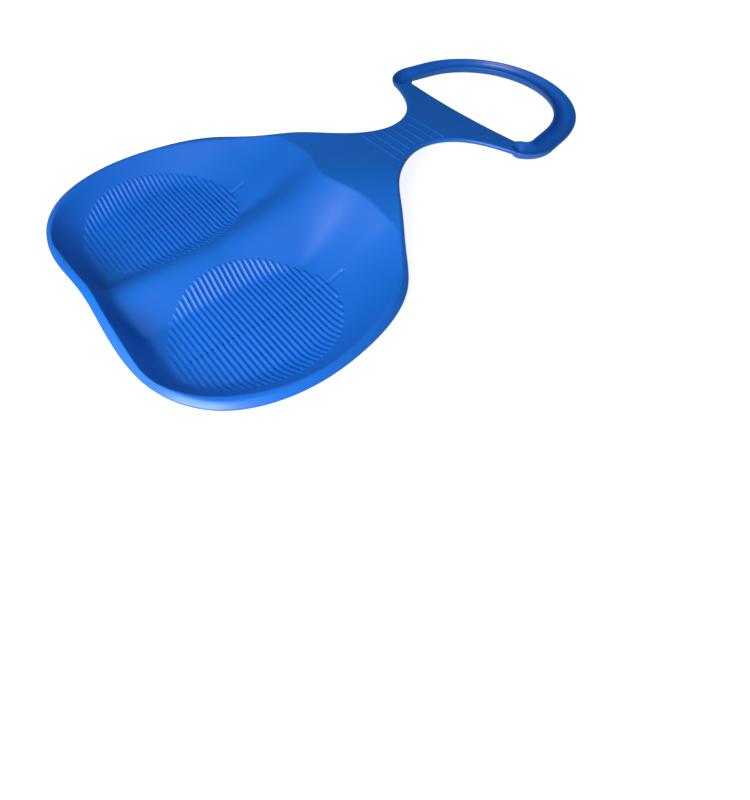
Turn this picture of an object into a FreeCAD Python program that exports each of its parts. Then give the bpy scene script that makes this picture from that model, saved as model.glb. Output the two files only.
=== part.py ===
import FreeCAD, Part
import math
import os
from FreeCAD import Vector

os.makedirs("parts", exist_ok=True)

# A one-person snow sled board in moulded polyethylene, in millimetres.
# +Y runs to the hand grip, +Z is up, and the two keels stand on Z = 0.
# It is drawn about the seat centre, a point on the ground midway between the two hollows,
# and moved at the end so that the origin lies under the middle of the whole board.
# The board is one moulding; each zone of it below is a solid of its own.

# Sizes of the whole board
wall = 2.6                   # moulded wall, the same all over
seat_half_width = 149.5
rear_reach = 105.0           # seat centre back to the rear edge
shoulder_reach = 111.0       # seat centre forward to where the seat narrows
neck_height = 49.0           # top of the neck above the ground
side_drop = 19.0             # how far the seat's edge dips below the neck
middle_drop_share = 0.40     # share of that dip on the centreline, at the rear
level_start = 50.0           # seat centre back to where the centreline begins to rise to the neck's level
level_end = 80.0             # and forward to where it has reached it
dip_half_width = 88.0        # from the centreline to the full dip, at the rear
dip_widening = 30.0          # and this much more in front
dip_ends = 85.0              # the dip is full up to here
dip_starts = 162.0           # and gone from here on

# Sizes of the seat hollows
hollow_offset = 70.0         # centre of each hollow from the centreline
rim_margin = 6.0             # from the top of a hollow's wall out to the board's edge
front_overlap = 6.0          # the hollows run this far past the shoulder
side_wall_run = 35.0         # width that each wall takes up in plan
rear_wall_run = 23.0
front_wall_run = 75.0
hollow_side = seat_half_width - hollow_offset - rim_margin
hollow_rear = rear_reach - rim_margin
hollow_front = shoulder_reach + front_overlap
floor_side = hollow_side - side_wall_run
floor_rear = hollow_rear - rear_wall_run
floor_front = hollow_front - front_wall_run
rear_fullness = 1.94         # roundness of the hollow's oval plan
front_fullness = 1.78
floor_fullness = 2.3
wall_bend = 0.45             # share of the wall's width over which it bends up from the floor
ridge_height = 18.0          # ridge between the hollows, above the floor
ridge_front_rise = 14.0      # extra height of the ridge where it meets the neck
ridge_front_reach = 104.0
ridge_half_width = 36.0
ridge_front_widening = 22.0
ridge_blend = 2.6            # how sharply the ridge runs into the walls

# Sizes of the keels under the hollows
keel_height = 3.0
keel_width = 3.2
keel_rear_margin = 12.5      # the floor's rear edge to the keel's blunt end
keel_front_margin = 44.0     # the keel's front end back from the top of the front wall
keel_fade = 6.0              # length of the run-out at the keel's front end
keel_rear = floor_rear - keel_rear_margin
keel_front = hollow_front - keel_front_margin

# Sizes of the ribs on the seat
rib_count = 31
rib_height = 1.7
rib_width = 2.2
patch_inner = 12.5           # from the board's centreline out to a ribbed patch
patch_back = 9.5             # the patch's centre lies this far behind the seat centre
patch_margin = 13.0          # from the patch out to the top of the wall
patch_rear_margin = 23.5     # from the patch back to the top of the rear wall
patch_outer = hollow_offset + hollow_side - patch_margin
patch_half_width = (patch_outer - patch_inner) / 2.0
patch_offset = patch_inner + patch_half_width
patch_half_length = hollow_rear - patch_rear_margin - patch_back

# Sizes of the rolled edges
seat_roll = 2.8
seat_edge_drop = 4.2
seat_edge_width = 9.0
neck_roll = 3.2
neck_edge_drop = 4.2
neck_edge_width = 5.5
edge_change = 16.0           # length over which the seat's edge narrows to the neck's

# Sizes of the neck and the fork
neck_half_width = 20.5
waist_radius = 50.0
waist_reach = 200.0          # seat centre forward to the narrowest place
line_count = 7
line_height = 0.6
line_width = 1.0
lines_behind = 30.5          # from the waist back to the first line
lines_ahead = 25.0
line_margin = 4.0            # the lines stop this far inside the board's edge

# Sizes of the hand grip
grip_radius = 10.0
arch_radius = 80.0           # of the channel's centreline
arch_lead = 11.5             # the arch's centre lies this far ahead of the corners' centres
arch_side_angle = 10.0       # where the arch gives way to the straight side
corner_radius = 20.5
fork_length = 83.0           # from the waist forward to the corners' centres
corner_end_angle = -52.0     # where the channel ends in a round cup
cup_meeting_angle = -77.0    # where the neck's side edge meets that cup
corner_reach = waist_reach + fork_length
arch_centre_reach = corner_reach + arch_lead
arch_side = math.radians(arch_side_angle)
corner_offset = (arch_radius - corner_radius + arch_lead * math.sin(arch_side)) / math.cos(arch_side)
opening_setback = 17.0       # the hand opening's rear edge lies this far behind the corners' centres
opening_rear_reach = corner_reach - opening_setback
opening_corner_rise = 3.5    # that edge is this much further forward at its ends
opening_half_width = 67.0

# Fits between neighbouring zones
seam = 0.1
wall_lean = 1.27             # how much wider the underside's wall stands

# Counts of stations and facets
wall_steps = 7
floor_steps = 8
side_steps = 20
rim_steps = 44
neck_net = 10
rib_stations = 7
arch_steps = 8
corner_steps = 5
round_steps = 10
halvings = 40

# The seat's outline from its rear centre to the shoulder.
# Each point is a share of the half width and a share of the length on its side of the seat centre.
SEAT_EDGE_SHARES = [
    (0.27, -1.000),
    (0.50, -0.978),
    (0.695, -0.888),
    (0.858, -0.700),
    (0.957, -0.433),
    (1.000, -0.060),
    (0.983, 0.243),
    (0.926, 0.550),
    (0.809, 0.820),
    (0.645, 1.000),
]
REAR_CENTRE_SHARE = -0.988
RIDGE_SHARES = [0.0, 0.17, 0.34, 0.5, 0.66, 0.83, 1.0]
HOLLOW_SHARES = [0.0, 0.2, 0.45, 0.7, 1.0]
SHOULDER_SHARES = [(0.462, 0.335), (0.300, 0.640)]
WAIST_ANGLES = [-32.0, 0.0, 32.0, 60.0]


def smooth(value):
    value = min(max(value, 0.0), 1.0)
    return value * value * (3.0 - 2.0 * value)


def datum(x, y):
    """Height of the board's upper face outside the hollows."""
    forward = smooth((y + level_start) / (level_start + level_end))
    middle = middle_drop_share * (1.0 - forward)
    across = middle + (1.0 - middle) * smooth(abs(x) / (dip_half_width + dip_widening * forward))
    along = 1.0 - smooth((y - dip_ends) / (dip_starts - dip_ends))
    return neck_height - side_drop * across * along


def reach(angle, side, length, fullness):
    """Distance from an oval's centre to its edge; a fullness of 2 is a true ellipse."""
    across = abs(math.cos(angle) / side) ** fullness
    along = abs(math.sin(angle) / length) ** fullness
    return (across + along) ** (-1.0 / fullness)


def seat_form(x, y, lowered):
    """Height of the hollows and the ridge between them, on the upper face or one wall below it."""
    floor = keel_height + wall - lowered
    beside = max(abs(x) - hollow_offset, 0.0)
    angle = math.atan2(abs(y), beside)
    if y > 0.0:
        inner = reach(angle, floor_side, floor_front, floor_fullness)
        outer = reach(angle, hollow_side, hollow_front, front_fullness)
    else:
        inner = reach(angle, floor_side, floor_rear, floor_fullness)
        outer = reach(angle, hollow_side, hollow_rear, rear_fullness)
    outer = outer + lowered * wall_lean
    share = max(math.hypot(beside, y) - inner, 0.0) / (outer - inner)
    climb = (math.hypot(share, wall_bend) - wall_bend) / (math.hypot(1.0, wall_bend) - wall_bend)
    side_wall = (datum(x, y) - floor) * climb
    forward = smooth(y / ridge_front_reach)
    across = min(abs(x) / (ridge_half_width + ridge_front_widening * forward - lowered), 1.0)
    ridge = (ridge_height + ridge_front_rise * forward) * (1.0 - across * across) ** 2
    lift = (side_wall ** ridge_blend + ridge ** ridge_blend) ** (1.0 / ridge_blend)
    return floor + lift


def way_to_rim(place, toward, lowered, depth):
    """Distance along a direction at which the seat's form comes up to a depth below the datum."""
    near = 0.0
    far = seat_half_width + rear_reach
    rising = seat_form(place.x, place.y, lowered) < datum(place.x, place.y) - depth
    for _ in range(halvings):
        middle = (near + far) / 2.0
        spot = place + toward * middle
        inside = seat_form(spot.x, spot.y, lowered) < datum(spot.x, spot.y) - depth
        if inside == rising:
            near = middle
        else:
            far = middle
    return near


def seat_points(start, end, count, lowered):
    """Points of one face of the seat, evenly along a straight way across it."""
    points = []
    for k in range(count + 1):
        spot = start + (end - start) * k / count
        points.append(Vector(spot.x, spot.y, seat_form(spot.x, spot.y, lowered)))
    return points


def flat_facets(rows):
    """Flat three-sided facets over a net of points."""
    facets = []
    for row, following in zip(rows, rows[1:]):
        for k in range(len(row) - 1):
            for corners in ([row[k], row[k + 1], following[k]], [row[k + 1], following[k + 1], following[k]]):
                facets.append(Part.Face(Part.makePolygon(corners + corners[:1])))
    return facets


def formed_wall(upper_rows, lower_rows):
    """A closed wall between two faces, each given as rows of points."""
    rings = [upper + lower[::-1] + upper[:1] for upper, lower in zip(upper_rows, lower_rows)]
    facets = flat_facets(rings)
    for end in (0, -1):
        facets += flat_facets([upper_rows[end], lower_rows[end]])
    shell = Part.Shell(facets)
    shell.sewShape()
    return Part.Solid(shell).removeSplitter()


def middle_row(x, lowered):
    """The seat cut along the board: rear wall, floor or ridge, front wall."""
    centre = Vector(x, 0, 0)
    ahead = Vector(0, 1, 0)
    rear = centre - ahead * way_to_rim(centre, ahead * -1.0, lowered, wall + seam)
    front = centre + ahead * way_to_rim(centre, ahead, lowered, wall + seam)
    floor_start = centre - ahead * floor_rear
    floor_end = centre + ahead * floor_front
    return (seat_points(rear, floor_start, wall_steps, lowered)
            + seat_points(floor_start, floor_end, floor_steps, lowered)[1:]
            + seat_points(floor_end, front, wall_steps, lowered)[1:])


def height_between(row, y):
    """Height of a row of points along the board at a place between two of them."""
    for point, following in zip(row, row[1:]):
        if point.y <= y <= following.y:
            return point.z + (following.z - point.z) * (y - point.y) / (following.y - point.y)


def side_row(side, angle, lowered):
    """The seat's side wall cut square to its oval, from the floor's edge to the rim."""
    centre = Vector(side * hollow_offset, 0, 0)
    toward = Vector(side * math.cos(angle), math.sin(angle), 0)
    floor_length = floor_front if angle > 0.0 else floor_rear
    floor_edge = centre + toward * reach(angle, floor_side, floor_length, floor_fullness)
    rim = centre + toward * way_to_rim(centre, toward, lowered, wall + seam)
    return seat_points(floor_edge, rim, wall_steps, lowered)


def seat_strip(places):
    """The stretch of the seat that a set of places across it covers."""
    return formed_wall([middle_row(x, 0.0) for x in places], [middle_row(x, wall) for x in places])


def hollow(side):
    """One hollow from the foot of the ridge outwards: floor, front and rear walls, round outer wall."""
    ridge_foot = side * ridge_half_width
    inner = seat_strip([ridge_foot + (side * hollow_offset - ridge_foot) * share for share in HOLLOW_SHARES])
    angles = [math.pi * (k / side_steps - 0.5) for k in range(side_steps + 1)]
    upper = [side_row(side, angle, 0.0) for angle in angles]
    lower = [side_row(side, angle, wall) for angle in angles]
    floor_edge = [row[0] for row in lower]
    floor = Part.Face(Part.makePolygon(floor_edge + floor_edge[:1])).extrude(Vector(0, 0, wall))
    return inner.multiFuse([formed_wall(upper, lower), floor]).removeSplitter()


def prism(edges, low, high):
    """An upright prism from a flat outline at Z = 0."""
    face = Part.Face(Part.Wire(edges))
    face.translate(Vector(0, 0, low))
    return face.extrude(Vector(0, 0, high - low))


def mirrored(shape):
    return shape.mirror(Vector(0, 0, 0), Vector(1, 0, 0))


# The board's outline, from one side of the fork round the rear to the other

def outline_side():
    points = []
    for x_share, y_share in SEAT_EDGE_SHARES:
        side_reach = shoulder_reach if y_share > 0.0 else rear_reach
        points.append(Vector(x_share * seat_half_width, y_share * side_reach, 0))
    waist_x = neck_half_width + waist_radius
    first = math.radians(WAIST_ANGLES[0])
    waist_start = waist_reach + waist_radius * math.sin(first)
    for x_share, y_share in SHOULDER_SHARES:
        y = shoulder_reach + y_share * (waist_start - shoulder_reach)
        points.append(Vector(x_share * seat_half_width, y, 0))
    for degrees in WAIST_ANGLES:
        angle = math.radians(degrees)
        points.append(Vector(
            waist_x - waist_radius * math.cos(angle), waist_reach + waist_radius * math.sin(angle), 0))
    cup = grip_stations()[-1][0]
    meeting = math.radians(cup_meeting_angle)
    points.append(Vector(cup.x + grip_radius * math.cos(meeting), cup.y + grip_radius * math.sin(meeting), 0))
    return points


def outline_curve():
    right = outline_side()
    left = [Vector(-point.x, point.y, 0) for point in reversed(right)]
    curve = Part.BSplineCurve()
    curve.interpolate(left + [Vector(0, REAR_CENTRE_SHARE * rear_reach, 0)] + right)
    return curve


def edge_frame(curve, parameter):
    place = curve.value(parameter)
    along = curve.tangent(parameter)[0]
    return place, Vector(along.y, -along.x, 0)


def edge_widths(place, outward):
    """Width of the rolled edge on its upper and lower face: to the seat's wall, or a strip of the neck."""
    narrowing = smooth((place.y - shoulder_reach) / edge_change + 1.0)
    widest = seat_edge_width + (neck_edge_width - seat_edge_width) * narrowing
    inward = outward * -1.0
    widths = []
    for depth in (0.0, wall):
        if place.y < waist_reach:
            widths.append(min(way_to_rim(place, inward, 0.0, depth), widest))
        else:
            widths.append(widest)
    return widths


def edge_section(curve, parameter):
    """The rolled edge cut square: flat, then a quarter round, then a short upright; chamfered within."""
    place, outward = edge_frame(curve, parameter)
    upper_width, lower_width = edge_widths(place, outward)
    narrowing = smooth((place.y - dip_ends) / (dip_starts - dip_ends))
    roll = min(seat_roll + (neck_roll - seat_roll) * narrowing, upper_width - seam)
    drop = seat_edge_drop + (neck_edge_drop - seat_edge_drop) * narrowing

    def at(inset, depth):
        spot = place - outward * inset
        return Vector(spot.x, spot.y, datum(spot.x, spot.y) - depth)

    bend = roll * (1.0 - math.sqrt(0.5))
    corners = [at(upper_width, 0), at(roll, 0), at(0, roll), at(0, drop),
               at(wall, drop), at(wall, roll), at(roll, wall), at(lower_width, wall)]
    edges = [
        Part.makeLine(corners[0], corners[1]),
        Part.Arc(corners[1], at(bend, bend), corners[2]).toShape(),
        Part.makeLine(corners[2], corners[3]),
        Part.makeLine(corners[3], corners[4]),
        Part.makeLine(corners[4], corners[5]),
        Part.makeLine(corners[5], corners[6]),
        Part.makeLine(corners[6], corners[7]),
        Part.makeLine(corners[7], corners[0]),
    ]
    return Part.Wire(edges)


def rolled_edge(curve, start, end, count):
    sections = []
    for i in range(count + 1):
        sections.append(edge_section(curve, start + (end - start) * i / count))
    return Part.makeLoft(sections, True, True)


def parameter_at(curve, reach_y):
    """Where the outline's right side reaches a given place along the board."""
    low = curve.FirstParameter + (curve.LastParameter - curve.FirstParameter) / 2.0
    high = curve.LastParameter
    for _ in range(halvings):
        middle = (low + high) / 2.0
        if curve.value(middle).y < reach_y:
            low = middle
        else:
            high = middle
    return low


# Hand grip: a channel, round below and open above

def grip_stations():
    """Centre and outward direction at each station of the right half, from the front round to the end."""
    middle = Vector(0, arch_centre_reach, neck_height)
    corner = Vector(corner_offset, corner_reach, neck_height)
    stations = []
    for axis, radius, first, last, steps in (
            (middle, arch_radius, 90.0, arch_side_angle, arch_steps),
            (corner, corner_radius, arch_side_angle, corner_end_angle, corner_steps)):
        for k in range(steps + 1):
            angle = math.radians(first + (last - first) * k / steps)
            outward = Vector(math.cos(angle), math.sin(angle), 0)
            stations.append((axis + outward * radius, outward))
    return stations


def round_points(centre, outward, radius, turn):
    """Points on a round that hangs below a level line, from its outer side inwards."""
    points = []
    steps = int(round_steps * turn / math.pi)
    for k in range(steps + 1):
        angle = turn * k / steps
        points.append(centre + outward * (radius * math.cos(angle)) - Vector(0, 0, radius * math.sin(angle)))
    return points


def channel_section(centre, outward, inner, turn):
    """A ring's lower part cut square, or a disc's where there is no inner radius."""
    corners = round_points(centre, outward, grip_radius, turn)
    if inner > 0.0:
        corners += round_points(centre, outward, inner, turn)[::-1]
    elif turn < math.pi:
        corners.append(centre)
    return Part.makePolygon(corners + corners[:1])


def grip(inner):
    """The channel with a round cup at each end, hollowed to an inner radius or solid."""
    stations = grip_stations()
    sections = [channel_section(centre, outward, inner, math.pi) for centre, outward in stations]
    channel = Part.makeLoft(sections, True, True)
    end, outward = stations[-1]
    quarter = Part.Face(channel_section(end, outward, inner, math.pi / 2.0))
    cup = quarter.revolve(end, Vector(0, 0, 1), -180.0)
    half = channel.fuse(cup)
    return half.fuse(mirrored(half)).removeSplitter()


def opening_edge(inset):
    """The hand opening's rear edge, moved back by an inset."""
    rise = Vector(0, opening_corner_rise, 0)
    middle = Vector(0, opening_rear_reach - inset, 0)
    side = Vector(opening_half_width, 0, 0)
    return Part.Arc(middle - side + rise, middle, middle + side + rise).toShape()


# Rolled edges

outline = outline_curve()
rim_end = parameter_at(outline, dip_starts)
rim_start = outline.FirstParameter + outline.LastParameter - rim_end
seat_rim = rolled_edge(outline, rim_start, rim_end, rim_steps)
grip_body = grip(0.0)
right_neck_edge = rolled_edge(outline, rim_end, outline.LastParameter, neck_net).cut(grip_body)
left_neck_edge = mirrored(right_neck_edge)

# Ridge between the hollows
ridge_places = [share * ridge_half_width for share in RIDGE_SHARES]
seat_ridge = seat_strip([-x for x in ridge_places[:0:-1]] + ridge_places)


# Neck: a saddle that runs down to the seat's shoulders, then a flat plate

def crease_reach(x, depth):
    """Where the seat's front wall comes up to a depth below the datum."""
    return way_to_rim(Vector(x, 0, 0), Vector(0, 1, 0), 0.0, depth)


def plate_side(parameter, depth):
    """The plate's side, one seam inside the rolled edge."""
    place, outward = edge_frame(outline, parameter)
    return place - outward * (edge_widths(place, outward)[0 if depth == 0.0 else 1] + seam)


def root_grid(depth):
    start = parameter_at(outline, shoulder_reach - edge_change / 4.0)
    sides = [plate_side(start + (rim_end - start) * i / neck_net, depth) for i in range(neck_net + 1)]
    first = sides[0]
    last = sides[-1]
    grid = []
    for j in range(neck_net + 1):
        across = 2.0 * j / neck_net - 1.0
        rear_shift = crease_reach(across * first.x, depth) - first.y
        row = []
        for side in sides:
            share = (side.y - first.y) / (last.y - first.y)
            y = side.y + (1.0 - share) * rear_shift
            x = across * side.x
            row.append(Vector(x, y, datum(x, y) - depth))
        grid.append(row)
    return grid


neck_root = formed_wall(root_grid(0.0), root_grid(wall))

flat_sides = [plate_side(rim_end + (outline.LastParameter - rim_end) * i / neck_net, 0.0)
              for i in range(neck_net + 1)]
side_edge = Part.makePolygon(flat_sides)
rear_line = Part.makeLine(Vector(-flat_sides[0].x, flat_sides[0].y, 0), flat_sides[0])
opening_rear = opening_edge(0)
arm_end = Part.makeLine(flat_sides[-1], opening_rear.Vertexes[1].Point)
plate_outline = ([rear_line] + side_edge.Edges + [arm_end, opening_rear, mirrored(arm_end)]
                 + mirrored(side_edge).Edges)
neck_plate = prism(plate_outline, neck_height - wall, neck_height).cut(grip_body)

lip_front = opening_edge(0)
lip_rear = opening_edge(wall)
lip_ends = [Part.makeLine(lip_front.Vertexes[k].Point, lip_rear.Vertexes[k].Point) for k in (0, 1)]
opening_lip = prism([lip_front, lip_ends[1], lip_rear, lip_ends[0]],
                    neck_height - neck_edge_drop, neck_height - wall).cut(grip_body)


def neck_line(y):
    half = outline.value(parameter_at(outline, y)).x - line_margin
    return Part.makeBox(2 * half, line_width, line_height, Vector(-half, y - line_width / 2.0, neck_height))


line_pitch = (lines_behind + lines_ahead) / (line_count - 1)
neck_lines = [neck_line(waist_reach - lines_behind + line_pitch * k) for k in range(line_count)]

hand_grip = grip(grip_radius - wall)


# Keels: level on the ground, blunt behind, deeper where the floor rises, running out in front

def keel(side):
    middle = side * hollow_offset
    row = middle_row(middle, wall)
    rear = Vector(middle, -keel_rear, seat_form(middle, -keel_rear, wall))
    underside = [point for point in row if -keel_rear < point.y < keel_front]
    front = Vector(middle, keel_front, height_between(row, keel_front))
    ground = [Vector(middle, keel_front - keel_fade, 0), Vector(middle, -keel_rear, 0)]
    corners = [rear] + underside + [front] + ground
    face = Part.Face(Part.makePolygon(corners + corners[:1]))
    face.translate(Vector(-keel_width / 2.0, 0, 0))
    return face.extrude(Vector(keel_width, 0, 0))


# Ribs across each hollow, bent to follow its floor and walls

def seat_rib(y, side):
    """One rib, bent to follow the hollow, of even height along its length."""
    half = patch_half_width * math.sqrt(1.0 - ((y + patch_back) / patch_half_length) ** 2)
    foot = []
    crown = []
    for i in range(rib_stations + 1):
        x = side * (patch_offset - half * math.cos(math.pi * i / rib_stations))
        z = max(seat_form(x, y - rib_width / 2.0, 0.0), seat_form(x, y + rib_width / 2.0, 0.0)) + seam
        foot.append(Vector(x, y - rib_width / 2.0, z))
        crown.append(Vector(x, y - rib_width / 2.0, z + rib_height))
    outline_points = foot + crown[::-1] + foot[:1]
    return Part.Face(Part.makePolygon(outline_points)).extrude(Vector(0, rib_width, 0))


def ribs(side):
    pitch = 2 * patch_half_length / rib_count
    first = -patch_back - patch_half_length + pitch / 2.0
    return [seat_rib(first + pitch * k, side) for k in range(rib_count)]


nodes = {
    "left_hollow": [hollow(-1.0)],
    "right_hollow": [hollow(1.0)],
    "seat_ridge": [seat_ridge],
    "seat_rim": [seat_rim],
    "left_keel": [keel(-1.0)],
    "right_keel": [keel(1.0)],
    "left_seat_ribs": ribs(-1.0),
    "right_seat_ribs": ribs(1.0),
    "neck_root": [neck_root],
    "neck_plate": [neck_plate],
    "neck_edges": [left_neck_edge, right_neck_edge],
    "neck_lines": neck_lines,
    "opening_lip": [opening_lip],
    "hand_grip": [hand_grip],
}

board_front = arch_centre_reach + arch_radius + grip_radius
to_origin = Vector(0, (rear_reach - board_front) / 2.0, 0)
for name, solids in nodes.items():
    shape = solids[0] if len(solids) == 1 else Part.makeCompound(solids)
    shape.translate(to_origin)
    shape.exportStep("parts/" + name + ".step")
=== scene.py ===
import bpy
import bmesh
import math
import numpy as np
from mathutils import Matrix, Vector


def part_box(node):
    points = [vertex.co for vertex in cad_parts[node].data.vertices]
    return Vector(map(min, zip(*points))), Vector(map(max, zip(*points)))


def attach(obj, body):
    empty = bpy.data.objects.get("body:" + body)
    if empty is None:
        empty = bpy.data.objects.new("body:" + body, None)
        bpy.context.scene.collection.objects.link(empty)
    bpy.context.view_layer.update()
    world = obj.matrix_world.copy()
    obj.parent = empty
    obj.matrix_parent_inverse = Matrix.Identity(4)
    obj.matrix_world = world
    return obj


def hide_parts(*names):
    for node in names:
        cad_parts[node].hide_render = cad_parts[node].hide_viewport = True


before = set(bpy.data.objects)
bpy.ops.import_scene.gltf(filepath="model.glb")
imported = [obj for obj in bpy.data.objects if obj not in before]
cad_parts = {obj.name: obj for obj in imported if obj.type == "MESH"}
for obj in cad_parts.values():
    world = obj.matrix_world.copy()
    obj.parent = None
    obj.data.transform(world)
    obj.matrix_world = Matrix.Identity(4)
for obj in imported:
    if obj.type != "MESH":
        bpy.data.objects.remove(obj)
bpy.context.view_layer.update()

# Shared tools.
# Colours are written as seen on a screen and turned into light values here.


def colour(code):
    """Light values of a colour that is written in the screen's hex code."""
    values = [int(code[k:k + 2], 16) / 255.0 for k in (1, 3, 5)]
    return tuple(v / 12.92 if v <= 0.04045 else ((v + 0.055) / 1.055) ** 2.4 for v in values) + (1.0,)


def add(tree, kind, settings=None, values=None, links=None):
    """A shader node with its settings, its socket values and the outputs that feed it."""
    node = tree.nodes.new(kind)
    for name, value in (settings or {}).items():
        setattr(node, name, value)
    for name, value in (values or {}).items():
        node.inputs[name].default_value = value
    for name, output in (links or {}).items():
        tree.links.new(output, node.inputs[name])
    return node


def smooth(value):
    """A step that eases in and out, from 0 at 0 to 1 at 1."""
    value = np.clip(value, 0.0, 1.0)
    return value * value * (3.0 - 2.0 * value)


weld = 0.000002


def piece(name, points, faces, material, *nodes):
    """A smooth mesh that stands for some nodes of the solid part and rides on its one body."""
    mesh = bpy.data.meshes.new(name)
    mesh.from_pydata(np.asarray(points).tolist(), [], faces)
    mesh.validate()
    tool = bmesh.new()
    tool.from_mesh(mesh)
    bmesh.ops.remove_doubles(tool, verts=tool.verts, dist=weld)
    bmesh.ops.dissolve_degenerate(tool, edges=tool.edges, dist=weld)
    bmesh.ops.recalc_face_normals(tool, faces=tool.faces)
    tool.to_mesh(mesh)
    tool.free()
    mesh.polygons.foreach_set("use_smooth", [True] * len(mesh.polygons))
    mesh.materials.append(material)
    shown = bpy.data.objects.new(name, mesh)
    bpy.context.scene.collection.objects.link(shown)
    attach(shown, "root")
    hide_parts(*nodes)
    return shown


def grid_faces(rows, columns, closed_columns=False, start=0):
    """Four-sided faces over a grid of points that are stored row by row."""
    faces = []
    for i in range(rows - 1):
        here = start + i * columns
        ahead = here + columns
        for j in range(columns if closed_columns else columns - 1):
            k = (j + 1) % columns
            faces.append((here + j, here + k, ahead + k, ahead + j))
    return faces


# Moulded blue polyethylene.
# The whole board is one injection moulding in glossy dyed plastic, with the faint waviness
# and fine grain of a moulded skin.

blue = colour("#0A71DE")
blue_thick = colour("#086AD6")
mould_grain = 0.0006
mould_wave = 0.030
grain_depth = 0.0001
grain_strength = 0.06
surface_roughness = (0.30, 0.38)
wave_range = (0.3, 0.7)
gloss_share = 0.55
gloss_roughness = 0.60
polyethylene_ior = 1.51
gloss_ior = 1.5


def moulded_polyethylene():
    material = bpy.data.materials.new("injection_moulded_polyethylene")
    material.use_nodes = True
    tree = material.node_tree
    tree.nodes.clear()
    place = add(tree, "ShaderNodeTexCoord").outputs["Object"]
    wave, grain = [
        add(tree, "ShaderNodeTexNoise", None, {"Scale": 1.0 / width, "Detail": 2.0}, {"Vector": place})
        for width in (mould_wave, mould_grain)]
    tint = add(tree, "ShaderNodeMix", {"data_type": "RGBA"}, None, {"Factor": wave.outputs["Fac"]})
    tint.inputs[6].default_value = blue
    tint.inputs[7].default_value = blue_thick
    sheen = add(tree, "ShaderNodeMapRange", None,
                {"From Min": wave_range[0], "From Max": wave_range[1],
                 "To Min": surface_roughness[0], "To Max": surface_roughness[1]},
                {"Value": wave.outputs["Fac"]})
    bump = add(tree, "ShaderNodeBump", None, {"Strength": grain_strength, "Distance": grain_depth},
               {"Height": grain.outputs["Fac"]})
    skin = add(tree, "ShaderNodeBsdfPrincipled", None,
               {"IOR": polyethylene_ior, "Coat Weight": gloss_share,
                "Coat Roughness": gloss_roughness, "Coat IOR": gloss_ior},
               {"Base Color": tint.outputs[2], "Roughness": sheen.outputs["Result"],
                "Normal": bump.outputs["Normal"]})
    add(tree, "ShaderNodeOutputMaterial", None, None, {"Surface": skin.outputs["BSDF"]})
    return material


polyethylene = moulded_polyethylene()

# The board: seat hollows, rolled rim, saddle and neck.
# One sheet of even wall. Its upper face is a form in height over the plan,
# its underside the same form one wall lower, and its edge rolls over and ends in a short lip.

wall = 0.0026
rear_reach = 0.105
shoulder_reach = 0.111
side_drop = 0.019
middle_drop_share = 0.40
level_start = 0.050
level_end = 0.080
dip_half_width = 0.088
dip_widening = 0.030
dip_ends = 0.085
dip_starts = 0.162
seat_half_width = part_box("seat_rim")[1].x
seat_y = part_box("seat_rim")[0].y + rear_reach
neck_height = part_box("neck_plate")[1].z
keel_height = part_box("left_hollow")[0].z

hollow_offset = 0.070
rim_margin = 0.006
front_overlap = 0.006
hollow_side = seat_half_width - hollow_offset - rim_margin
hollow_rear = rear_reach - rim_margin
hollow_front = shoulder_reach + front_overlap
side_wall_run = 0.035
rear_wall_run = 0.023
front_wall_run = 0.075
floor_side = hollow_side - side_wall_run
floor_rear = hollow_rear - rear_wall_run
floor_front = hollow_front - front_wall_run
rear_fullness = 1.94
front_fullness = 1.78
floor_fullness = 2.3
wall_bend = 0.45
wall_lean = 1.27
ridge_height = 0.018
ridge_front_rise = 0.014
ridge_front_reach = 0.104
ridge_half_width = 0.036
ridge_front_widening = 0.022
ridge_blend = 2.6
crease_round = 0.0006

keel_width = 0.0032
keel_rear_margin = 0.0125
keel_front_margin = 0.044
keel_rear = floor_rear - keel_rear_margin
keel_front = hollow_front - keel_front_margin
groove_depth = 0.0011
groove_half_width = 0.0022
pip_height = 0.0006
pip_radius = 0.0019

seat_band = 0.0050
seat_roll = 0.0028
seat_droop = 1.3
seat_lip = 0.0042
neck_roll = 0.0022
neck_lip = 0.0036
edge_taper = 0.18
lip_round = 0.0008
lip_share = 0.8
plate_sink = 0.00003

neck_half_width = 0.0205
waist_radius = 0.050
waist_reach = 0.200
fork_length = 0.083
grip_radius = 0.010
arch_radius = 0.080
arch_lead = 0.0115
arch_side = math.radians(10.0)
corner_radius = 0.0205
corner_end = math.radians(-52.0)
cup_meeting = math.radians(-77.0)
corner_reach = waist_reach + fork_length
arch_centre_reach = corner_reach + arch_lead
corner_offset = (arch_radius - corner_radius + arch_lead * math.sin(arch_side)) / math.cos(arch_side)
opening_setback = 0.017
opening_rear_reach = corner_reach - opening_setback
opening_corner_rise = 0.0035
opening_bend_length = 0.045
cup_overlap = 0.0008
cup_cover = grip_radius - cup_overlap
cup_centre = (corner_offset + corner_radius * math.cos(corner_end),
              corner_reach + corner_radius * math.sin(corner_end))

SEAT_EDGE_SHARES = [
    (0.27, -1.000),
    (0.50, -0.978),
    (0.695, -0.888),
    (0.858, -0.700),
    (0.957, -0.433),
    (1.000, -0.060),
    (0.983, 0.243),
    (0.926, 0.550),
    (0.809, 0.820),
    (0.645, 1.000),
]
REAR_CENTRE_SHARE = -0.988
SHOULDER_SHARES = [(0.462, 0.335), (0.300, 0.640)]
WAIST_ANGLES = [-32.0, 0.0, 32.0, 60.0]

edge_pitch = 0.0010
ray_steps = 190
row_steps = 90
cup_steps = 26
least_step = 0.0004


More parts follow.
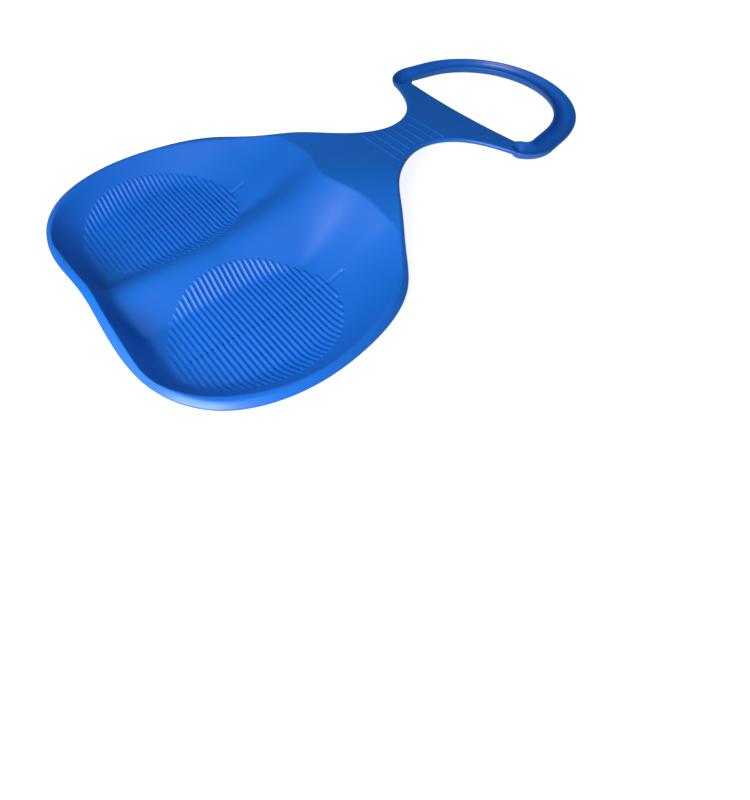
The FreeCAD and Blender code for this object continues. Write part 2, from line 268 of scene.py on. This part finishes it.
def datum(x, y):
    """Height of the upper face outside the hollows."""
    forward = smooth((y + level_start) / (level_start + level_end))
    middle = middle_drop_share * (1.0 - forward)
    across = middle + (1.0 - middle) * smooth(np.abs(x) / (dip_half_width + dip_widening * forward))
    along = 1.0 - smooth((y - dip_ends) / (dip_starts - dip_ends))
    return neck_height - side_drop * across * along


def oval(angle, side, length, fullness):
    """Distance from an oval's centre to its edge; a fullness of 2 is a true ellipse."""
    across = (np.cos(angle) / side) ** fullness
    along = (np.sin(angle) / length) ** fullness
    return (across + along) ** (-1.0 / fullness)


def seat_form(x, y, lowered):
    """Height of the hollows and of the ridge between them."""
    floor = keel_height + wall - lowered
    beside = np.maximum(np.abs(x) - hollow_offset, 0.0)
    angle = np.arctan2(np.abs(y), beside)
    inner = np.where(y > 0.0, oval(angle, floor_side, floor_front, floor_fullness),
                     oval(angle, floor_side, floor_rear, floor_fullness))
    outer = np.where(y > 0.0, oval(angle, hollow_side, hollow_front, front_fullness),
                     oval(angle, hollow_side, hollow_rear, rear_fullness)) + lowered * wall_lean
    share = np.maximum(np.hypot(beside, y) - inner, 0.0) / (outer - inner)
    climb = (np.hypot(share, wall_bend) - wall_bend) / (math.hypot(1.0, wall_bend) - wall_bend)
    side_wall = (datum(x, y) - floor) * climb
    forward = smooth(y / ridge_front_reach)
    across = np.minimum(np.abs(x) / (ridge_half_width + ridge_front_widening * forward - lowered), 1.0)
    ridge = (ridge_height + ridge_front_rise * forward) * (1.0 - across * across) ** 2
    return floor + (side_wall ** ridge_blend + ridge ** ridge_blend) ** (1.0 / ridge_blend)


def keel_groove(x, y):
    """The shallow groove that the upper face has above each keel, with round ends."""
    beyond = np.maximum(np.maximum(-keel_rear - y, y - keel_front), 0.0)
    away = np.hypot(np.abs(x) - hollow_offset, beyond) / groove_half_width
    pip = np.hypot(np.abs(x) - hollow_offset, y - keel_front) / pip_radius
    return groove_depth * smooth(1.0 - away) - (groove_depth + pip_height) * smooth(1.0 - pip)


def sheet_height(x, y, lowered):
    """Height of the whole sheet, with the crease along the top of the walls rounded off."""
    flat = datum(x, y) - lowered
    form = seat_form(x, y, lowered)
    height = (flat + form - np.sqrt((flat - form) ** 2 + crease_round ** 2)) / 2.0
    height = height + crease_round ** 2 / (4.0 * np.maximum(form - flat, crease_round))
    height = np.minimum(height, flat)
    if lowered == 0.0:
        height = height - keel_groove(x, y)
    return height


def spline(points, pitch):
    """Places and outward directions, evenly along a smooth curve through the points."""
    points = np.array(points)
    steps = np.hypot(*np.diff(points, axis=0).T)
    knots = np.concatenate([[0.0], np.cumsum(steps)])
    count = len(points)
    system = np.zeros((count, count))
    target = np.zeros((count, 2))
    system[0, 0] = system[-1, -1] = 1.0
    slopes = np.diff(points, axis=0) / steps[:, None]
    for i in range(1, count - 1):
        system[i, i - 1:i + 2] = steps[i - 1], 2.0 * (steps[i - 1] + steps[i]), steps[i]
        target[i] = 6.0 * (slopes[i] - slopes[i - 1])
    bend = np.linalg.solve(system, target)
    places = []
    for t in np.linspace(0.0, knots[-1], int(knots[-1] / pitch) // 2 * 2 + 1):
        i = min(int(np.searchsorted(knots, t, side="right")) - 1, count - 2)
        h = steps[i]
        a = (knots[i + 1] - t) / h
        b = 1.0 - a
        places.append(a * points[i] + b * points[i + 1]
                      + ((a ** 3 - a) * bend[i] + (b ** 3 - b) * bend[i + 1]) * h * h / 6.0)
    places = np.array(places)
    along = np.gradient(places, axis=0)
    along = along / np.hypot(*along.T)[:, None]
    return places, np.column_stack([along[:, 1], -along[:, 0]])


def outline():
    """The board's edge from its rear centre along the right side to the grip's cup."""
    side = []
    for x_share, y_share in SEAT_EDGE_SHARES:
        length = shoulder_reach if y_share > 0.0 else rear_reach
        side.append((x_share * seat_half_width, y_share * length))
    waist_x = neck_half_width + waist_radius
    waist_start = waist_reach + waist_radius * math.sin(math.radians(WAIST_ANGLES[0]))
    for x_share, y_share in SHOULDER_SHARES:
        side.append((x_share * seat_half_width, shoulder_reach + y_share * (waist_start - shoulder_reach)))
    for degrees in WAIST_ANGLES:
        angle = math.radians(degrees)
        side.append((waist_x - waist_radius * math.cos(angle), waist_reach + waist_radius * math.sin(angle)))
    side.append((cup_centre[0] + grip_radius * math.cos(cup_meeting),
                 cup_centre[1] + grip_radius * math.sin(cup_meeting)))
    left = [(-x, y) for x, y in side[::-1]]
    places, outward = spline(left + [(0.0, REAR_CENTRE_SHARE * rear_reach)] + side, edge_pitch)
    middle = len(places) // 2
    return places[middle:], outward[middle:]


def edge_profile(places):
    """Width, drop and lip of the edge at each place, and how far it has become the neck's edge."""
    narrowing = smooth((places[:, 1] - dip_ends) / (dip_starts - dip_ends))
    room = lip_round + edge_taper * edge_pitch * np.arange(len(places))[::-1]
    width = np.minimum(seat_band + (neck_roll - seat_band) * narrowing, room)
    drop = np.minimum(seat_roll + (neck_roll - seat_roll) * narrowing, room)
    return width, drop, seat_lip + (neck_lip - seat_lip) * narrowing, narrowing


def edge_rows(places, outward, width, drop, lip, narrowing):
    """Rows of points round the edge, from its top inwards under the board."""
    quarter = np.linspace(0.0, math.pi / 2.0, 7)
    shares = np.linspace(0.0, 1.0, 10)
    rows = []

    def row(inset, depth, lowered):
        spot = places - outward * np.reshape(inset, (-1, 1))
        height = datum(spot[:, 0], spot[:, 1]) - depth
        if lowered is not None:
            height = np.minimum(height, sheet_height(spot[:, 0], spot[:, 1], lowered))
        rows.append(np.column_stack([spot, height]))

    def sink(share):
        """The seat's edge droops outwards almost straight; the neck's is a quarter round."""
        round_sink = 1.0 - np.sqrt(np.maximum(1.0 - share * share, 0.0))
        return drop * ((1.0 - narrowing) * share ** seat_droop + narrowing * round_sink)

    thin = np.minimum(wall, width * lip_share)
    for share in shares[1:]:
        row(width * (1.0 - share), sink(share), 0.0)
    for t in quarter:
        row(lip_round * (1.0 - math.cos(t)), lip - lip_round * (1.0 - math.sin(t)), None)
    for t in quarter[::-1]:
        row(thin - lip_round * (1.0 - math.cos(t)), lip - lip_round * (1.0 - math.sin(t)), None)
    for share in shares[::-1][:-1]:
        under = share * (1.0 - thin / width)
        row(width * (1.0 - under), np.minimum(wall + sink(under), lip - lip_round), wall)
    return rows


def board_mesh():
    """The whole sheet without ribs, keels and grip: seat, neck, fork and their edges."""
    places, outward = outline()
    width, drop, lip, narrowing = edge_profile(places)
    inner = places - outward * width[:, None]
    turn = int(np.argmax(inner[:, 1] > dip_starts))
    mirror = np.array([-1.0, 1.0])

    # Closed loop round the seat: right side, straight across the neck, left side
    shares = np.linspace(1.0, -1.0, row_steps + 1)
    across = np.column_stack([shares * inner[turn, 0], np.full(row_steps + 1, inner[turn, 1])])
    loop = np.concatenate([inner[:turn], across, (inner[1:turn] * mirror)[::-1]])
    count = len(loop)
    rays = np.linspace(0.0, 1.0, ray_steps + 1)[1:]

    # Rows across the neck, the last of them along the hand opening
    front = -math.pi - math.asin((opening_rear_reach + opening_corner_rise - cup_centre[1]) / cup_cover)
    circle = np.linspace(cup_meeting, front, cup_steps)[1:]
    cup_side = np.column_stack([cup_centre[0] + cup_cover * np.cos(circle),
                                cup_centre[1] + cup_cover * np.sin(circle)])
    cup_side = cup_side[cup_side[:, 1] > inner[-1, 1] + least_step]
    ends = np.concatenate([inner[turn:], cup_side])
    last_y = ends[-1, 1]
    points = []
    faces = []
    for lowered in (0.0, wall):
        start = len(points)
        plan = (loop[None, :, :] * rays[:, None, None]).reshape(-1, 2)
        height = sheet_height(plan[:, 0], plan[:, 1], lowered)
        points += np.column_stack([plan, height]).tolist()
        centre = len(points)
        points.append((0.0, 0.0, float(sheet_height(np.zeros(1), np.zeros(1), lowered)[0])))
        faces += grid_faces(ray_steps, count, closed_columns=True, start=start)
        faces += [(centre, start + j, start + (j + 1) % count) for j in range(count)]
        neck_start = len(points)
        for end in ends:
            bow = opening_corner_rise * smooth((end[1] - last_y + opening_bend_length) / opening_bend_length)
            x = shares * end[0]
            y = end[1] - bow * (1.0 - shares * shares)
            points += np.column_stack([x, y, sheet_height(x, y, lowered)]).tolist()
        faces += grid_faces(len(ends), row_steps + 1, start=neck_start)

    # The rolled edge on both sides
    rows = edge_rows(places, outward, width, drop, lip, narrowing)
    for side in (1.0, -1.0):
        band = [np.column_stack([inner, sheet_height(inner[:, 0], inner[:, 1], 0.0)])] + rows
        band.append(np.column_stack([inner, sheet_height(inner[:, 0], inner[:, 1], wall)]))
        start = len(points)
        for row in band:
            points += (row * np.array([side, 1.0, 1.0])).tolist()
        faces += grid_faces(len(band), len(places), start=start)

    # The lip along the hand opening
    x = shares * ends[-1, 0]
    y = ends[-1, 1] - opening_corner_rise * (1.0 - shares * shares)
    quarter = np.linspace(0.0, math.pi / 2.0, 6)
    start = len(points)
    insets = [lip_round * math.sin(t) for t in quarter] + [lip_round, lip_round - wall, lip_round - wall]
    depths = [lip_round * (1.0 - math.cos(t)) for t in quarter] + [neck_lip, neck_lip, wall]
    for inset, depth in zip(insets, depths):
        points += np.column_stack([x, y + inset, np.full(len(x), neck_height - depth)]).tolist()
    faces += grid_faces(len(insets), row_steps + 1, start=start)
    points = np.array(points) + np.array([0.0, seat_y, 0.0])
    points[:, 2] -= np.where(points[:, 1] > seat_y + dip_starts, plate_sink, 0.0)
    return points, faces


piece("board", *board_mesh(), polyethylene, "left_hollow", "right_hollow", "seat_ridge", "seat_rim",
      "neck_root", "neck_plate", "neck_edges", "opening_lip")

# Ribs in the seat hollows.
# Half-round ribs moulded on the upper face, in a round patch in each hollow.
# They run across the board, bend up the walls and taper off at their ends.

rib_count = 31
rib_height = 0.0017
rib_half_width = 0.0016
rib_run_out = 0.004
rib_rear_fade = 0.45
rib_station_pitch = 0.0007
rib_sink = 0.0001
patch_shift = 0.0015
patch_back = 0.0095
patch_margin = 0.013
patch_rear_margin = 0.0235
patch_offset = hollow_offset + patch_shift
patch_half_width = hollow_side - patch_shift - patch_margin
patch_half_length = hollow_rear - patch_rear_margin - patch_back


def rib_mesh(side):
    """The ribs of one hollow, each a half-round row that follows floor and walls."""
    pitch = 2.0 * patch_half_length / rib_count
    arc = np.linspace(0.0, math.pi, 11)
    points = []
    faces = []
    for k in range(rib_count):
        y = -patch_back - patch_half_length + pitch * (k + 0.5)
        half = patch_half_width * math.sqrt(1.0 - ((y + patch_back) / patch_half_length) ** 2)
        height = rib_height * (1.0 - rib_rear_fade * float(smooth((-y - patch_back) / patch_half_length)))
        stations = np.linspace(-half, half, int(half / rib_station_pitch))
        start = len(points)
        for station in stations:
            x = side * (patch_offset + station)
            swell = math.sqrt(min((half - abs(station)) / rib_run_out, 1.0))
            for t in arc:
                spot_y = y + rib_half_width * math.cos(t)
                base = float(seat_form(np.array([x]), np.array([spot_y]), 0.0)[0])
                points.append((x, spot_y + seat_y, base - rib_sink + height * swell * math.sin(t)))
        faces += grid_faces(len(stations), len(arc), start=start)
    return points, faces


piece("left_ribs", *rib_mesh(-1.0), polyethylene, "left_seat_ribs")
piece("right_ribs", *rib_mesh(1.0), polyethylene, "right_seat_ribs")

# Keels under the hollows.
# Each is a narrow ridge pressed out of the floor: blunt and upright behind, deeper where the
# floor rises in front, and fading out there.

keel_fade = 0.006
keel_flatness = 1.35


def keel_mesh(side):
    """One keel: its blunt end, its level run and its run-out."""
    arc = np.linspace(0.0, math.pi, 9)
    level_run = keel_rear + keel_front - keel_fade
    stations = [(-keel_rear, 0.0), (-keel_rear, 1.0)]
    stations += [(-keel_rear + share * level_run, 1.0) for share in np.linspace(0.02, 1.0, 30)]
    stations += [(keel_front - keel_fade * (1.0 - share), 1.0 - share) for share in np.linspace(0.2, 1.0, 5)]
    points = []
    for y, share in stations:
        under = float(seat_form(np.array([hollow_offset]), np.array([y]), wall)[0])
        for t in arc:
            x = side * hollow_offset + keel_width / 2.0 * math.cos(t)
            points.append((x, y + seat_y, under * (1.0 - share * min(1.0, keel_flatness * math.sin(t)))))
    return points, grid_faces(len(stations), len(arc))


piece("left_keel_ridge", *keel_mesh(-1.0), polyethylene, "left_keel")
piece("right_keel_ridge", *keel_mesh(1.0), polyethylene, "right_keel")

# Fine lines across the neck.
# Thin raised beads that stiffen the neck's upper face and give the thumb a hold.

line_count = 7
line_height = 0.0006
line_width = 0.0010
lines_behind = 0.0305
lines_ahead = 0.025
line_margin = 0.004


def line_mesh():
    """The beads across the neck, each cut to the neck's width at its place."""
    places = outline()[0]
    front = places[:, 1] > dip_starts
    arc = np.linspace(0.0, math.pi, 9)
    points = []
    faces = []
    for k in range(line_count):
        y = waist_reach - lines_behind + (lines_behind + lines_ahead) * k / (line_count - 1)
        half = float(np.interp(y, places[front, 1], places[front, 0])) - line_margin
        start = len(points)
        for x, swell in ((-half, 0.0), (-half + line_width, 1.0), (half - line_width, 1.0), (half, 0.0)):
            for t in arc:
                points.append((x, y + seat_y + line_width / 2.0 * math.cos(t),
                               neck_height - plate_sink + line_height * swell * math.sin(t)))
        faces += grid_faces(4, len(arc), start=start)
    return points, faces


piece("neck_beads", *line_mesh(), polyethylene, "neck_lines")

# Hand grip.
# A channel, round below and open above, bent into a D; each end closes in a round cup
# that is let into the arms of the neck.

grip_rim_round = 0.0009
cup_lip = 0.0007
cup_sink = 0.00015
cup_flow_start = math.radians(-12.0)
section_opening = math.radians(8.0)
inside_steps = 14
rim_steps = 9


def half_profile():
    """Right half of the channel's section as distance out and height, from the inner bottom to the outer."""
    inside = grip_radius - wall
    last = math.pi / 2.0 - section_opening
    inner = [(inside * math.sin(t), -inside * math.cos(t)) for t in np.linspace(0.0, last, inside_steps)]
    middle = (grip_radius + inside) / 2.0
    top = [(middle - wall / 2.0 * math.cos(t), -grip_rim_round * (1.0 - math.sin(t)))
           for t in np.linspace(0.0, math.pi, rim_steps)]
    outer = [(grip_radius * math.sin(t), -grip_radius * math.cos(t)) for t in np.linspace(last, 0.0, 16)]
    return np.array(inner + top + outer)


def cup_profile():
    """The same for the cup, whose inside flows softly out into the arm's upper face."""
    inside = grip_radius - wall
    away = np.linspace(0.0, 1.0, inside_steps)
    rim = slice(inside_steps, inside_steps + rim_steps)
    section = half_profile()
    section[:inside_steps] = np.column_stack([away * (grip_radius - cup_lip), -inside * (1.0 - smooth(away))])
    section[rim, 0] = np.linspace(grip_radius - cup_lip, grip_radius, rim_steps + 1)[1:]
    section[rim, 1] = -cup_sink
    return section


def grip_mesh():
    """The channel swept along the arch and both corners, then the two cups."""
    channel = half_profile()
    cup = cup_profile()
    stations = []
    arch = ((0.0, arch_centre_reach), arch_radius, math.pi / 2.0, arch_side, 110)
    corner = ((corner_offset, corner_reach), corner_radius, arch_side, corner_end, 40)
    for axis, radius, first, last, count in (arch, corner):
        for angle in np.linspace(first, last, count):
            outward = (math.cos(angle), math.sin(angle))
            softening = float(smooth((cup_flow_start - angle) / (cup_flow_start - corner_end)))
            stations.append((axis[0] + radius * outward[0], axis[1] + radius * outward[1],
                             *outward, softening))
    stations = [(-x, y, -out_x, out_y, share) for x, y, out_x, out_y, share in stations[:0:-1]] + stations
    points = []
    for x, y, out_x, out_y, share in stations:
        half = channel + (cup - channel) * share
        whole = half.tolist() + [(-out, up) for out, up in half[-2:0:-1]]
        points += [(x + out * out_x, y + out * out_y, up) for out, up in whole]
    faces = grid_faces(len(stations), 2 * len(channel) - 2, closed_columns=True)
    for side in (1.0, -1.0):
        start = len(points)
        turns = corner_end - np.linspace(0.0, math.pi, 33)
        for angle in turns:
            across, along = math.cos(angle), math.sin(angle)
            points += [(side * (cup_centre[0] + out * across), cup_centre[1] + out * along, up)
                       for out, up in cup]
        faces += grid_faces(len(turns), len(cup), start=start)
    return np.array(points) + np.array([0.0, seat_y, neck_height]), faces


piece("hand_grip_channel", *grip_mesh(), polyethylene, "hand_grip")

# Stage: a pale floor, one soft box behind the seat and above it, white all round.
# The floor takes the board's shadow; only the camera sees the white of floor and world in full.

floor_reach = 6.0
paper_fill = 0.82
seen_light = 1.0
mirrored_light = 0.02
ambient_light = 0.18
softbox_place = (0.26, seat_y - 0.48, 0.45)
softbox_aim = (0.0, seat_y, 0.0)
softbox_size = 0.45
softbox_power = 6.3

floor_mesh = bpy.data.meshes.new("studio_floor")
corners = [(-floor_reach, -floor_reach, 0.0), (floor_reach, -floor_reach, 0.0),
           (floor_reach, floor_reach, 0.0), (-floor_reach, floor_reach, 0.0)]
floor_mesh.from_pydata(corners, [], [(0, 1, 2, 3)])
floor = bpy.data.objects.new("studio_floor", floor_mesh)
bpy.context.scene.collection.objects.link(floor)
paper = bpy.data.materials.new("matt_white_paper")
paper.use_nodes = True
paper_skin = paper.node_tree.nodes["Principled BSDF"]
paper_skin.inputs["Base Color"].default_value = colour("#F4F4F4")
paper_skin.inputs["Roughness"].default_value = 0.9
paper_skin.inputs["Emission Color"].default_value = colour("#FFFFFF")
paper_ray = add(paper.node_tree, "ShaderNodeLightPath")
paper_glow = add(paper.node_tree, "ShaderNodeMath", {"operation": "MULTIPLY"}, {1: paper_fill},
                 {0: paper_ray.outputs["Is Camera Ray"]})
paper.node_tree.links.new(paper_glow.outputs["Value"], paper_skin.inputs["Emission Strength"])
floor_mesh.materials.append(paper)


def soft_light(name, place, aim, size, power):
    lamp = bpy.data.lights.new(name, "AREA")
    lamp.size = size
    lamp.energy = power
    shown = bpy.data.objects.new(name, lamp)
    shown.location = place
    shown.rotation_euler = (Vector(aim) - Vector(place)).to_track_quat("-Z", "Y").to_euler()
    bpy.context.scene.collection.objects.link(shown)


soft_light("near_softbox", softbox_place, softbox_aim, softbox_size, softbox_power)

world = bpy.data.worlds.new("white_studio")
world.use_nodes = True
bpy.context.scene.world = world
tree = world.node_tree
tree.nodes.clear()
ray = add(tree, "ShaderNodeLightPath")
seen, mirrored, ambient = [
    add(tree, "ShaderNodeBackground", None, {"Color": colour("#FFFFFF"), "Strength": strength})
    for strength in (seen_light, mirrored_light, ambient_light)]
unseen = add(tree, "ShaderNodeMixShader", None, None,
             {"Fac": ray.outputs["Is Glossy Ray"], 1: ambient.outputs[0], 2: mirrored.outputs[0]})
both = add(tree, "ShaderNodeMixShader", None, None,
           {"Fac": ray.outputs["Is Camera Ray"], 1: unseen.outputs[0], 2: seen.outputs[0]})
add(tree, "ShaderNodeOutputWorld", None, None, {"Surface": both.outputs["Shader"]})
bpy.context.scene.view_settings.view_transform = "Standard"

# Camera, placed as the photograph's was.
# The photograph holds two views; the upper one was taken as a picture of its own,
# so the shift moves its centre to where it stands on the page.

image_width = 750
image_height = 800
focal_pixels = 650
view_centre_px = (310, 233)
camera_place = Vector((0.3384, seat_y - 0.1639, 0.3687))
camera_right = Vector((0.6050, 0.7962, 0.0))
camera_up = Vector((-0.5297, 0.4026, 0.7465))

lens = bpy.data.cameras.new("camera")
lens.sensor_width = 36.0
lens.lens = focal_pixels / image_height * lens.sensor_width
lens.shift_x = (image_width / 2 - view_centre_px[0]) / image_height
lens.shift_y = (view_centre_px[1] - image_height / 2) / image_height
lens.clip_start = 0.01
camera = bpy.data.objects.new("camera", lens)
bpy.context.scene.collection.objects.link(camera)
back = camera_right.cross(camera_up).normalized()
up = back.cross(camera_right).normalized()
turned = Matrix((camera_right.normalized(), up, back)).transposed().to_4x4()
camera.matrix_world = Matrix.Translation(camera_place) @ turned
bpy.context.scene.camera = camera
